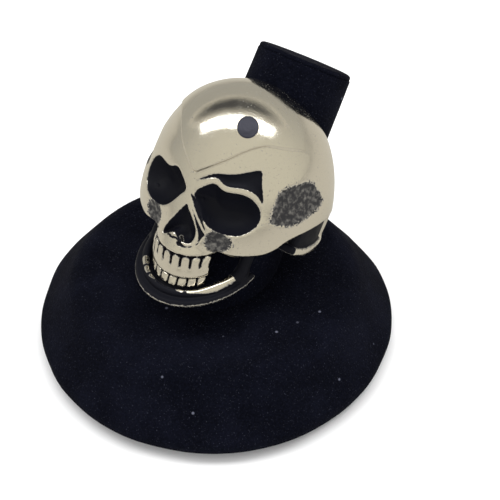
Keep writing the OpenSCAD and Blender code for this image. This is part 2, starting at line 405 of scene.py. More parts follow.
    def pit(self, dome: Array, outline: Array, depth: float, slope: float) -> Array:
        """The distance to a hollow cut square into the dome, deeper away from its edge."""
        floor = depth * (1 - np.exp(np.minimum(outline, 0.0) / slope))
        return np.maximum(outline, -(dome + floor))

    def head(self, p: Array) -> Array:
        """The distance to the skull with its upper teeth.

        Args:
            p: The places, as rows of x, n and u.

        Returns:
            The signed distances.
        """
        x, n, u = p
        s = self.chart_place(x, n)
        dome = self.dome(x, n, u, s)
        patch = self.look("patch", s, u)
        temple = self.look("temple", s, u)
        cheek = dome + 0.55 * (1 - smooth_step(-1.6, 0.6, patch)) + 0.35 * (1 - smooth_step(-1.4, 0.1, temple))
        cheek = smooth_max(cheek, self.look("under", s, u), 0.5)
        angle, radius, level = self.arch_place(x, n, u)
        teeth = self.upper_teeth(angle, level)
        bulge = 0.16 * np.clip(-teeth, 0.0, 0.6)
        relief = -0.7 * smooth_step(0.0, 0.16, teeth) * (1 - smooth_step(self.gum_u, self.gum_u + 0.12, level))
        muzzle = radius - self.arch_r - relief - bulge - 0.1 * smooth_step(1.7, 2.2, level)
        muzzle = smooth_max(muzzle, -1.98 - level, 0.18)
        muzzle = np.maximum(muzzle, u - 11.0)
        muzzle = np.maximum(muzzle, np.abs(angle) - 64.0)
        face = smooth_min(cheek, muzzle, 0.7)
        for name, depth, slope in self.pits:
            face = smooth_max(face, -self.pit(face, self.look(name, s, u), depth, slope), 0.12)
        groove = self.look("bone_dark", s, u)
        lines = np.minimum(self.look("bone_a", s, u), self.look("bone_b", s, u))
        face = face + 0.3 * smooth_step(0.12, 0.35, lines) * (1 - smooth_step(-0.25, 0.0, groove))
        reach = np.hypot(x, n)
        face = np.maximum(face, self.bore_r - reach)
        middle, half = 0.5 * sum(self.band_z), 0.5 * (self.band_z[1] - self.band_z[0]) + self.solder_gap
        beside_band = np.abs(u - middle) > half
        face = np.maximum(face, np.where(beside_band, -FAR, self.band_r + self.solder_gap - reach))
        return smooth_max(face, self.back_n - n, 0.3)

    def band_low(self, n: Array) -> Array:
        """The lower edge of the band, which dips under the cheeks."""
        return np.interp(n, [-4.0, 0.0, 3.0, 6.0, 8.0, 10.0], [self.band_z[0], 9.4, 8.6, 7.9, 7.8, 8.4])

    def band(self, p: Array) -> Array:
        """The distance to the band and its shoulders.

        Args:
            p: The places, as rows of x, n and u.

        Returns:
            The signed distances.
        """
        x, n, u = p
        s = self.chart_place(x, n)
        reach = np.hypot(x, n)
        middle = 0.5 * sum(self.band_z)
        half = 0.5 * (self.band_z[1] - self.band_z[0])
        crown = 0.35 * ((u - middle) / half) ** 2
        hoop = smooth_max(reach - self.band_r + crown, np.abs(u - middle) - half, 0.6)
        wing = np.hypot(x, n - self.temple[0]) - 15.4
        wing = smooth_max(wing, self.band_low(n) - u, 0.7)
        wing = smooth_max(wing, n - 8.6, 0.8)
        wing = smooth_max(wing, -self.look("under", s, u) + 0.06, 0.1)
        wing = smooth_max(wing, -5.5 - n, 1.5)
        shoulder = self.band_shoulder_groove(u, n)
        whole = smooth_min(hoop, wing + 0.7 * shoulder, 1.0)
        return np.maximum(whole, self.bore_r - reach)

    def band_shoulder_groove(self, u: Array, n: Array) -> Array:
        """How deep the blackened groove over the band's bright edge is, from none to one."""
        return smooth_step(1.25, 1.6, u - self.band_low(n)) * smooth_step(-3.5, -1.0, n)

    def jaw_place(self, x: Array, n: Array, u: Array) -> tuple[Array, Array, Array]:
        """The distance outside the jaw's rim, the height over its tilted plane, and the way along it.

        Args:
            x: Positions across the face.
            n: Positions out of the face.
            u: Positions along the finger.

        Returns:
            The three measures.
        """
        tilt = math.radians(41.0)
        along = (n - 8.6) * math.cos(tilt) - (u - 1.8) * math.sin(tilt)
        lift = (n - 8.6) * math.sin(tilt) + (u - 1.8) * math.cos(tilt)
        rho = np.sqrt((x / 10.0) ** 2 + (np.maximum(along, 0.0) / 12.6) ** 2)
        outside = (rho - 1.0) * (9.6 + 2.2 * smooth_step(0.0, 12.0, along))
        return outside, lift, along

    def jaw(self, p: Array) -> Array:
        """The distance to the jaw with its lower teeth.

        Args:
            p: The places, as rows of x, n and u.

        Returns:
            The signed distances.
        """
        x, n, u = p
        outside, lift, along = self.jaw_place(x, n, u)
        rim = np.hypot(outside + 0.4, lift) - 0.45
        ridge = np.hypot(outside + 1.75, (lift - 0.95) * 0.8) - 0.5 - 0.3 * smooth_step(9.0, 5.0, along)
        web = np.maximum(np.abs(outside + 1.5) - 1.2, np.abs(lift - 0.15) - 0.4)
        floor = np.maximum(outside + 1.0, np.abs(lift + 0.1) - 0.45)
        floor = np.maximum(floor, 5.2 - along)
        shell = smooth_min(smooth_min(rim, ridge, 0.3), smooth_min(web, floor, 0.3), 0.3)
        branch = np.hypot(np.abs(x) - 8.4, n - 10.2) - 1.0
        branch = np.maximum(branch, 1.0 - u)
        shell = smooth_max(shell, -0.6 - along, 0.4)
        shell = smooth_min(shell, branch, 0.8)
        angle, radius, level = self.arch_place(x, n, u)
        teeth = self.lower_teeth(angle, level)
        relief = -0.7 * smooth_step(0.0, 0.14, teeth)
        arch = radius - self.arch_r + 0.35 - relief - 0.2 * np.clip(-teeth, 0.0, 0.5)
        arch = np.maximum(arch, 3.4 - radius)
        arch = smooth_max(arch, level + 2.32, 0.15)
        arch = np.maximum(arch, -5.2 - level)
        arch = np.maximum(arch, np.abs(angle) - 61.0)
        whole = smooth_min(shell, arch, 0.25)
        under = -self.look("under", self.chart_place(x, n), u)
        whole = np.maximum(whole, under + 0.1)
        return np.maximum(whole, self.band_r + 0.1 - np.hypot(x, n))

    def head_black_and_shade(self, p: Array) -> tuple[Array, Array]:
        """How far each place lies inside the black (negative), blackened hollows and painted shade under the
        skull, and how mottled it is there.

        Args:
            p: The places, as rows of x, n and u.

        Returns:
            The two marks, in millimetres.
        """
        x, n, u = p
        s = self.chart_place(x, n)
        angle, radius, level = self.arch_place(x, n, u)
        patch = self.look("patch", s, u)
        temple = self.look("temple", s, u)
        dark = np.minimum.reduce([self.look(name, s, u) for name in ("eye", "nose", "brow")])
        lines = np.minimum(self.look("bone_a", s, u), self.look("bone_b", s, u))
        bone = np.maximum(self.look("bone_dark", s, u), 0.16 - lines)
        dark = np.minimum(dark, bone)
        dark = np.maximum(dark, 0.17 - lines)
        mottle = np.minimum(patch, temple)
        below = self.look("under", s, u)
        on_cheek = (below < 0.15) | (np.abs(angle) < 63.0) & (radius > self.arch_r - 2.5) & (level < 4.0)
        teeth = self.upper_teeth(angle, level)
        gum_line = np.maximum(level - self.gum_u, -3.0 - level)
        mouth = np.maximum(gum_line, -teeth)
        mouth = np.where((np.abs(angle) < 64.0) & (n > 12.0), mouth, 1.0)
        dark = np.minimum(dark, mouth)
        # Painted shade: the skull's underside, under the cheek's edge and away from the muzzle, is made black.
        underside_shade = np.where(on_cheek, 1.0, -1.0)
        dark = np.minimum(dark, underside_shade)
        bore = (np.hypot(x, n) < self.bore_r + 0.3) | (n < self.back_n + 0.4)
        # Painted shade: the inside behind the muzzle, under the cheek's edge, is made black as well.
        inner = np.where((radius < self.arch_r - 1.2) & (below > 0.1), -1.0, 1.0)
        return np.where(bore, 1.0, np.minimum(dark, inner)), np.where(bore, FAR, mottle)

    def band_black_and_shade(self, p: Array) -> tuple[Array, Array]:
        """The band's black marks: the blackened groove over its bright lower edge, and painted shade on what
        faces the mouth.

        Args:
            p: The places, as rows of x, n and u.

        Returns:
            The two marks, in millimetres.
        """
        x, n, u = p
        groove = np.maximum(self.band_low(n) + 1.4 - u, -1.5 - n)
        # Painted shade: the front of the band, which faces the mouth under the skull, is made black.
        mouth = 8.2 - n
        outside = np.hypot(x, n - self.temple[0]) > 13.4
        return np.minimum(np.where(outside, groove, 1.0), mouth), groove

    def jaw_black_and_shade(self, p: Array) -> tuple[Array, Array]:
        """The jaw's black marks, all but its teeth, its rim and its ridge: blackened recesses, and painted
        shade on its branches under the skull.

        Args:
            p: The places, as rows of x, n and u.

        Returns:
            The two marks, in millimetres.
        """
        x, n, u = p
        outside, lift, along = self.jaw_place(x, n, u)
        angle, radius, level = self.arch_place(x, n, u)
        teeth = self.lower_teeth(angle, level)
        teeth = np.where((radius > self.arch_r - 1.0) & (level > -4.3) & (np.abs(angle) < 62.0), teeth, 1.0)
        width = 0.09 + 0.55 * smooth_step(10.6, 6.0, along) * smooth_step(-1.0, 3.0, x)
        ridge = np.hypot(outside + 1.75, lift - 1.3) - 0.1 - width
        ridge = np.maximum(ridge, 3.0 - along)
        rim = np.hypot(outside + 0.2, lift + 0.05) - 0.28
        # All of the jaw but its teeth, rim and ridge is made black: blackened recesses, with painted shade on
        # the branches under the skull.
        bright = np.minimum.reduce([teeth, ridge, rim])
        return -bright, np.full(x.shape, FAR)


@dataclass
class Casting:
    """One casting of the ring: its distances become a mesh, and its black marks, blackened hollows with
    painted shade, go on the mesh.
    """

    name: str
    node: str
    shape: Callable[[Array], Array]
    blackening_and_shade: Callable[[Array], tuple[Array, Array]]
    low: tuple[float, float, float]
    high: tuple[float, float, float]
    voxel: float
    coarse: int = 4

    def field(self, voxel: float) -> Array:
        """The distances on a grid, worked out fully only near the surface.

        Args:
            voxel: The grid's step, in millimetres.

        Returns:
            The distances, in voxels.
        """
        low, high = np.array(self.low), np.array(self.high)
        wide = voxel * self.coarse
        count = np.ceil((high - low) / wide).astype(int) + 1
        axes = [low[i] + np.arange(count[i]) * wide for i in range(3)]
        rough = self.shape(np.stack(np.meshgrid(*axes, indexing="ij")).reshape(3, -1)).reshape(count)
        full = rough
        for axis in range(3):
            full = np.repeat(full, self.coarse, axis=axis)
        near = np.argwhere(np.abs(full) < wide * 1.9)
        places = low[:, None] + near.T * voxel
        full[tuple(near.T)] = self.shape(places)
        return full / voxel

    def mesh(self) -> bpy.types.Object:
        """The casting as an object, in the row frame.

        Returns:
            The casting.
        """
        voxel = self.voxel * 1.0
        grid = openvdb.FloatGrid(3.0)
        grid.copyFromArray(self.field(voxel).astype(np.float32))
        points, quads = grid.convertToQuads(0.0)
        p = np.array(self.low)[:, None] + points.T.astype(float) * voxel
        p = self.settle(p, voxel)
        dark, mottle = self.blackening_and_shade(p)
        data = bpy.data.meshes.new(self.name)
        local = np.stack([p[0], -p[1], p[2]], axis=1)
        data.from_pydata(local.tolist(), [], quads[:, ::-1].tolist())
        for key, values in (("blackening_and_shade", dark), ("mottle", mottle)):
            layer = data.attributes.new(key, "FLOAT", "POINT")
            layer.data.foreach_set("value", values.astype(np.float32))
        data.transform(FINGER.matrix())
        made = bpy.data.objects.new(self.name, data)
        bpy.context.scene.collection.objects.link(made)
        point_outwards(made)
        data.shade_smooth()
        return made

    def settle(self, p: Array, voxel: float) -> Array:
        """Moves points onto the surface along its slope.

        Args:
            p: The places, as rows of x, n and u.
            voxel: The grid's step, in millimetres.

        Returns:
            The moved places.
        """
        step = 0.3 * voxel
        for _ in range(2):
            value = self.shape(p)
            slope = np.stack([self.shape(p + step * np.eye(3)[:, [i]]) - value for i in range(3)]) / step
            size = np.maximum((slope**2).sum(0), 0.2)
            p = p - np.clip(value, -0.5 * voxel, 0.5 * voxel) * slope / size
        return p


def point_outwards(made: bpy.types.Object) -> None:
    """Turns every face of a closed shell outwards.

    Args:
        made: The piece.
    """
    select_only(made)
    bpy.ops.object.mode_set(mode="EDIT")
    bpy.ops.mesh.select_all(action="SELECT")
    bpy.ops.mesh.normals_make_consistent(inside=False)
    bpy.ops.object.mode_set(mode="OBJECT")


def select_only(made: bpy.types.Object) -> None:
    """Makes one object the only selected and the active one.

    Args:
        made: The piece.
    """
    bpy.ops.object.select_all(action="DESELECT")
    made.select_set(True)
    bpy.context.view_layer.objects.active = made


# ---------------------------------------------------------------- finishes


class Shader:
    """A node tree that is built with short calls."""

    def __init__(self, tree: bpy.types.NodeTree) -> None:
        """Clears the tree."""
        self.tree = tree
        tree.nodes.clear()

    def node(self, kind: str, **settings: object) -> bpy.types.Node:
        """Adds a node and gives it its settings.

        Args:
            kind: The type of node.
            settings: The node's settings.

        Returns:
            The node.
        """
        made = self.tree.nodes.new(kind)
        for key, value in settings.items():
            setattr(made, key, value)
        return made

    def put(self, socket: bpy.types.NodeSocket, value: object) -> None:
        """Links a socket to another one, or sets its value.

        Args:
            socket: The socket.
            value: The value.
        """
        if isinstance(value, bpy.types.NodeSocket):
            self.tree.links.new(value, socket)
        else:
            socket.default_value = value

    def attribute(self, name: str) -> bpy.types.NodeSocket:
        """A value that is stored on the mesh."""
        return self.node("ShaderNodeAttribute", attribute_name=name).outputs["Fac"]

    def place(self, scale: float = 1.0) -> bpy.types.NodeSocket:
        """The place on the object, times a number.

        Args:
            scale: The scale.

        Returns:
            The places.
        """
        made = self.node("ShaderNodeVectorMath", operation="SCALE")
        self.put(made.inputs[0], self.node("ShaderNodeTexCoord").outputs["Object"])
        made.inputs["Scale"].default_value = scale
        return made.outputs[0]

    def noise(self, scale: float, detail: float = 2.0, vector: object = None) -> bpy.types.NodeSocket:
        """A noise, with that many spots to a metre.

        Args:
            scale: The scale.
            detail: How many finer layers it has.
            vector: The places to read, or none for the object itself.

        Returns:
            The noise, from zero to one.
        """
        made = self.node("ShaderNodeTexNoise")
        self.put(made.inputs["Vector"], vector or self.place())
        made.inputs["Scale"].default_value = scale
        made.inputs["Detail"].default_value = detail
        return made.outputs["Fac"]

    def spread(self, value: object, low: float, high: float, to_low: float = 0.0,
               to_high: float = 1.0) -> bpy.types.NodeSocket:
        """Stretches a value from one range to another, smoothly, and keeps it there.

        Args:
            value: The value.
            low: The lower end.
            high: The upper end.
            to_low: What the lower end becomes.
            to_high: What the upper end becomes.

        Returns:
            The stretched value.
        """
        made = self.node("ShaderNodeMapRange", interpolation_type="SMOOTHSTEP")
        for name, number in zip(("Value", "From Min", "From Max", "To Min", "To Max"),
                                (value, low, high, to_low, to_high)):
            self.put(made.inputs[name], number)
        return made.outputs["Result"]

    def sum(self, operation: str, a: object, b: object) -> bpy.types.NodeSocket:
        """One sum of two values.

        Args:
            operation: The name of the sum.
            a: The first value.
            b: The second value.

        Returns:
            The result.
        """
        made = self.node("ShaderNodeMath", operation=operation)
        self.put(made.inputs[0], a)
        self.put(made.inputs[1], b)
        return made.outputs[0]

    def mix(self, factor: object, a: object, b: object) -> bpy.types.NodeSocket:
        """A mix of two colours.

        Args:
            factor: How much of the second there is.
            a: The first value.
            b: The second value.

        Returns:
            The mixed colour.
        """
        made = self.node("ShaderNodeMix", data_type="RGBA")
        self.put(made.inputs[0], factor)
        self.put(made.inputs[6], a)
        self.put(made.inputs[7], b)
        return made.outputs[2]

    def bump(self, height: object, distance: float, normal: object = None) -> bpy.types.NodeSocket:
        """A normal that a height leans, the height being in metres times the distance.

        Args:
            height: The height.
            distance: What a height of one is worth, in metres.
            normal: The normal to lean, or none for the surface itself.

        Returns:
            The leaned normal.
        """
        made = self.node("ShaderNodeBump")
        made.inputs["Strength"].default_value = 1.0
        made.inputs["Distance"].default_value = distance
        self.put(made.inputs["Height"], height)
        if normal is not None:
            self.put(made.inputs["Normal"], normal)
        return made.outputs["Normal"]

    def principled(self, **values: object) -> bpy.types.Node:
        """A Principled surface with its sockets set, joined to the output.

        Args:
            values: The sockets' values, with _ for a space.

        Returns:
            The surface node.
        """
        made = self.node("ShaderNodeBsdfPrincipled")
        for key, value in values.items():
            self.put(made.inputs[key.replace("_", " ")], value)
        out = self.node("ShaderNodeOutputMaterial")
        self.put(out.inputs["Surface"], made.outputs[0])
        return made


def linear(red: int, green: int, blue: int) -> tuple[float, float, float, float]:
    """A colour of the screen as the renderer's own numbers."""
    parts = [c / 255 for c in (red, green, blue)]
    return tuple(c / 12.92 if c <= 0.04045 else ((c + 0.055) / 1.055) ** 2.4 for c in parts) + (1.0,)


class Effects:
    """The effects that several finishes share, one node group each."""

    def __init__(self) -> None:
        """Makes the groups."""
        self.wear = self._wear()
        self.pile = self._pile()

    @staticmethod
    def _group(name: str, inputs: dict[str, tuple[str, object]], outputs: dict[str, str]
               ) -> tuple[Shader, bpy.types.Node, bpy.types.Node]:
        """A new group with its sockets.

        Args:
            name: The group's name.
            inputs: Each input's kind and starting value.
            outputs: Each output's kind.

        Returns:
            The tree's builder, its input node and its output node.
        """
        tree = bpy.data.node_groups.new(name, "ShaderNodeTree")
        for key, (kind, value) in inputs.items():
            tree.interface.new_socket(key, in_out="INPUT", socket_type=kind).default_value = value
        for key, kind in outputs.items():
            tree.interface.new_socket(key, in_out="OUTPUT", socket_type=kind)
        build = Shader(tree)
        return build, build.node("NodeGroupInput"), build.node("NodeGroupOutput")

    def _wear(self) -> bpy.types.NodeTree:
        """Fine wear of a metal: a roughness that varies, and a normal with scratches and pores.

        Returns:
            The group.
        """
        build, given, out = self._group(
            "Wear",
            {"Roughness": ("NodeSocketFloat", 0.15), "Spread": ("NodeSocketFloat", 0.08),
             "Depth": ("NodeSocketFloat", 1.0)},
            {"Roughness": "NodeSocketFloat", "Normal": "NodeSocketVector"})
        cloud = build.spread(build.noise(420.0, 3.0), 0.35, 0.7)
        grit = build.spread(build.noise(2600.0, 2.0), 0.5, 0.75)
        stretch = build.node("ShaderNodeMapping")
        build.put(stretch.inputs["Vector"], build.place())
        stretch.inputs["Rotation"].default_value = (0.5, 0.35, 0.8)
        stretch.inputs["Scale"].default_value = (1.0, 0.06, 0.5)
        lines = build.spread(build.noise(9000.0, 2.0, stretch.outputs[0]), 0.6, 0.74)
        worn = build.sum("ADD", cloud, build.sum("MULTIPLY", lines, 0.6))
        more = build.sum("MULTIPLY", worn, given.outputs["Spread"])
        build.put(out.inputs["Roughness"], build.sum("ADD", given.outputs["Roughness"], more))
        pores = build.sum("MULTIPLY", grit, 0.25)
        dents = build.sum("ADD", build.sum("MULTIPLY", build.noise(650.0, 3.0), 1.6), pores)
        height = build.sum("ADD", dents, build.sum("MULTIPLY", lines, -0.2))
        height = build.sum("MULTIPLY", height, given.outputs["Depth"])
        build.put(out.inputs["Normal"], build.bump(height, 0.00003))
        return build.tree

    def _pile(self) -> bpy.types.NodeTree:
        """Velvet's pile: its painted sheen and shade where the nap leans and on the fibre tips, its lint, and
        its soft normal.

        Returns:
            The group.
        """
        build, given, out = self._group(
            "Pile",
            {"Dark": ("NodeSocketColor", linear(14, 15, 24)), "Light": ("NodeSocketColor", linear(30, 32, 46)),
             "Lint": ("NodeSocketColor", linear(96, 98, 112)), "Dust": ("NodeSocketFloat", 1.0)},
            {"Color": "NodeSocketColor", "Normal": "NodeSocketVector"})
        # Painted sheen and shade: the pile is made lighter in patches where the nap leans and on the fibre
        # tips.
        nap = build.spread(build.noise(140.0, 3.0), 0.34, 0.7)
        fibre = build.noise(3300.0, 2.0)
        painted_tip_sheen = build.sum("MULTIPLY", build.spread(fibre, 0.35, 0.8), 0.7)
        shade = build.sum("ADD", build.sum("MULTIPLY", nap, 0.45), painted_tip_sheen)
        cloth = build.mix(shade, given.outputs["Dark"], given.outputs["Light"])
        spots = build.node("ShaderNodeTexVoronoi", feature="F1")
        build.put(spots.inputs["Vector"], build.place())
        spots.inputs["Scale"].default_value = 620.0
        near = build.spread(spots.outputs["Distance"], 0.2, 0.06)
        chosen = build.node("ShaderNodeSeparateColor")
        build.put(chosen.inputs[0], spots.outputs["Color"])
        some = build.spread(chosen.outputs["Red"], 0.95, 0.97)
        dust = build.spread(build.noise(5200.0, 1.0), 0.66, 0.78)
        flecks = build.sum("MAXIMUM", build.sum("MULTIPLY", near, some), build.sum("MULTIPLY", dust, 0.3))
        flecks = build.sum("MULTIPLY", flecks, given.outputs["Dust"])
        build.put(out.inputs["Color"], build.mix(flecks, cloth, given.outputs["Lint"]))
        swell = build.sum("MULTIPLY", build.noise(260.0, 2.0), 1.5)
        height = build.sum("ADD", build.noise(2600.0, 3.0), swell)
        build.put(out.inputs["Normal"], build.bump(height, 0.00016))
        return build.tree


@dataclass(frozen=True)
class Finish:
    """A finish: a name, and how its surface is built."""

    name: str

    def material(self, effects: Effects) -> bpy.types.Material:
        """Makes the material.

        Args:
            effects: The shared effects.

        Returns:
            The material.
        """
        made = bpy.data.materials.new(self.name)
        made.use_nodes = True
        self.build(Shader(made.node_tree), effects)
        return made

    def build(self, build: Shader, effects: Effects) -> None:
        """Builds the surface, each finish in its own way."""
        raise NotImplementedError

    @staticmethod
    def effect(build: Shader, tree: bpy.types.NodeTree, **values: object) -> bpy.types.Node:
        """Adds a shared effect and sets its sockets.

        Args:
            build: The builder of the material's nodes.
            tree: The node tree.
            values: The sockets' values, with _ for a space.

        Returns:
            The node of the effect.
        """
        made = build.node("ShaderNodeGroup", node_tree=tree)
        for key, value in values.items():
            build.put(made.inputs[key], value)
        return made


@dataclass(frozen=True)
class CastSteel(Finish):
    """Polished cast steel with blackened hollows and painted shade that the mesh marks."""

    metal: tuple = linear(222, 217, 205)
    black: tuple = linear(15, 16, 24)
    roughness: float = 0.1

    def build(self, build: Shader, effects: Effects) -> None:
        """Mixes the bright metal and its black, blackened hollows with painted shade, by the marks on the
        mesh.

        Args:
            build: The builder of the material's nodes.
            effects: The shared effects.
        """
        wear = self.effect(build, effects.wear, Roughness=self.roughness, Spread=0.09, Depth=0.35)
        ragged = build.sum("MULTIPLY", build.sum("SUBTRACT", build.noise(2600.0, 3.0), 0.5), 0.22)
        # The mark on the mesh blackens the hollows and paints shade under the skull, on the jaw and on the
        # band under the mouth.
        edge = build.sum("ADD", build.attribute("blackening_and_shade"), ragged)
        dark = build.spread(edge, 0.05, -0.06)
        marks = build.attribute("mottle")
        cover = build.spread(marks, 0.5, -0.9)
        stipple = build.sum("ADD", build.sum("MULTIPLY", cover, 0.5), build.noise(3300.0, 4.0))
        strength = build.spread(build.noise(1500.0, 2.0), 0.2, 0.6, 0.8, 0.97)
        mottled = build.sum("MULTIPLY", build.spread(stipple, 0.62, 0.78), strength)
        dark = build.sum("MAXIMUM", dark, mottled)
        colour = build.mix(dark, self.metal, self.black)
        rough = build.sum("ADD", wear.outputs["Roughness"], build.sum("MULTIPLY", dark, 0.4))
        build.principled(Base_Color=colour, Metallic=build.spread(dark, 0.0, 1.0, 1.0, 0.0), Roughness=rough,
                         Specular_IOR_Level=0.1, Normal=wear.outputs["Normal"])


@dataclass(frozen=True)
class PlainMetal(Finish):
    """A metal with fine wear, the same all over."""

    colour: tuple = linear(160, 162, 168)
    roughness: float = 0.3
    metallic: float = 1.0
    depth: float = 1.0

    def build(self, build: Shader, effects: Effects) -> None:
        """Builds the metal.

        Args:
            build: The builder of the material's nodes.
            effects: The shared effects.
        """
        wear = self.effect(build, effects.wear, Roughness=self.roughness, Depth=self.depth)
        build.principled(Base_Color=self.colour, Metallic=self.metallic, Roughness=wear.outputs["Roughness"],
                         Normal=wear.outputs["Normal"])


@dataclass(frozen=True)
class Velvet(Finish):
    """A very dark blue velvet with a soft sheen and some lint."""

    dark: tuple = linear(4, 5, 12)
    light: tuple = linear(14, 16, 27)
    dust: float = 1.0
    sheen: float = 0.02

    def build(self, build: Shader, effects: Effects) -> None:
        """Builds the cloth.

        Args:
            build: The builder of the material's nodes.
            effects: The shared effects.
        """
        pile = self.effect(build, effects.pile, Dark=self.dark, Light=self.light, Dust=self.dust)
        build.principled(Base_Color=pile.outputs["Color"], Roughness=0.95, Specular_IOR_Level=0.04,
                         Sheen_Weight=self.sheen, Sheen_Roughness=0.45, Sheen_Tint=linear(120, 124, 160),
                         Normal=pile.outputs["Normal"])


@dataclass(frozen=True)
class Matt(Finish):
    """A matt surface with a fine grain."""

    colour: tuple = linear(120, 90, 60)
    other: tuple = linear(140, 110, 80)
    grain: tuple = (400.0, 400.0, 400.0)
    depth: float = 0.00008

    def build(self, build: Shader, effects: Effects) -> None:
        """Builds the surface.

        Args:
            build: The builder of the material's nodes.
            effects: The shared effects.
        """
        stretch = build.node("ShaderNodeMapping")
        build.put(stretch.inputs["Vector"], build.place())
        stretch.inputs["Scale"].default_value = self.grain
        grain = build.noise(1.0, 4.0, stretch.outputs[0])
        build.principled(Base_Color=build.mix(build.spread(grain, 0.35, 0.65), self.colour, self.other),
                         Roughness=0.85, Specular_IOR_Level=0.2, Normal=build.bump(grain, self.depth))


class Paint(Enum):
    """The finishes of the row."""

    VELVET = Velvet("VelvetCloth")
    CAST = CastSteel("CastSteel")
    PLAQUE = PlainMetal("BlackenedPlaque", colour=linear(36, 37, 52), roughness=0.42, metallic=0.25, depth=1.4)
    SCREW = PlainMetal("ScrewSteel")
    WOOD = Matt("CoreWood", colour=linear(168, 128, 84), other=linear(196, 158, 112),
                grain=(900.0, 900.0, 90.0))
    FOAM = Matt("Foam", colour=linear(40, 40, 44), other=linear(58, 58, 62), grain=(1500.0,) * 3, depth=0.0002)
    FELT = Matt("Felt", colour=linear(20, 21, 28), other=linear(38, 39, 48), grain=(1800.0,) * 3, depth=0.0001)


class Palette:
    """Every material, made once."""

    def __init__(self) -> None:
        """Makes the effects and the materials."""
        effects = Effects()
        self.made = {paint: paint.value.material(effects) for paint in Paint}

    def give(self, piece: bpy.types.Object, paint: Paint) -> None:
        """Gives a piece one finish all over."""
        piece.data.materials.clear()
        piece.data.materials.append(self.made[paint])


# ---------------------------------------------------------------- pieces


@dataclass
class Row:
    """What every sub-assembly needs: the frame, the materials and the random numbers."""

    nodes: dict[str, bpy.types.Object]
    palette: Palette
    chance: np.random.Generator

    def place(self, piece: bpy.types.Object, body: Body, slot: Slot, paint: Paint,
              node: str = "") -> bpy.types.Object:
        """Finishes a piece and fixes it to its body.

        Args:
            piece: The piece, in place.
            body: The body that it rides on.
            slot: Its material slot in the record; not used.
            paint: Its finish.
            node: The CAD node that it stands for, if any.

        Returns:
            The piece.
        """
        self.palette.give(piece, paint)
        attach(piece, body.value)
        if node:
            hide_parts(node)
        LOG.info("%s: %d faces, on the %s", piece.name, len(piece.data.polygons), body.value)
        return piece

    def dress(self, node: str, paint: Paint) -> None:
        """Gives a CAD node its finish and leaves its shape alone."""
        self.palette.give(self.nodes[node], paint)
        LOG.info("%s: the CAD node with %s", node, paint.value.name)


def turned(name: str, profile: Points, steps: int) -> bpy.types.Object:
    """A piece turned from a closed half outline about the z axis, in millimetres.

    Args:
        name: The piece's name.
        profile: The radius and height of each corner, anticlockwise.
        steps: How many facets go round.

    Returns:
        The piece, not yet scaled to metres.
    """
    data = bpy.data.meshes.new(name)
    count = len(profile)
    data.from_pydata([(r, 0.0, z) for r, z in profile], [(i, (i + 1) % count) for i in range(count)], [])
    made = bpy.data.objects.new(name, data)
    bpy.context.scene.collection.objects.link(made)
    select_only(made)
    bpy.ops.object.mode_set(mode="EDIT")
    bpy.ops.mesh.select_all(action="SELECT")
    bpy.ops.mesh.spin(steps=steps, angle=math.tau, center=(0, 0, 0), axis=(0, 0, 1))
    bpy.ops.mesh.select_all(action="SELECT")
    bpy.ops.mesh.remove_doubles(threshold=0.0005)
    bpy.ops.mesh.normals_make_consistent(inside=False)
    bpy.ops.object.mode_set(mode="OBJECT")
    data.shade_smooth()
    return made


def arc(centre: tuple[float, float], radius: float, start: float, end: float, steps: int) -> Points:
    """Points along an arc, between two angles in degrees."""
    return [(centre[0] + radius * math.cos(math.radians(a)), centre[1] + radius * math.sin(math.radians(a)))
            for a in np.linspace(start, end, steps + 1)]


def along_line(start: tuple[float, float], end: tuple[float, float], steps: int) -> Points:
    """Points between two corners, without the corners."""
    return [(start[0] + (end[0] - start[0]) * i / steps, start[1] + (end[1] - start[1]) * i / steps)
            for i in range(1, steps)]


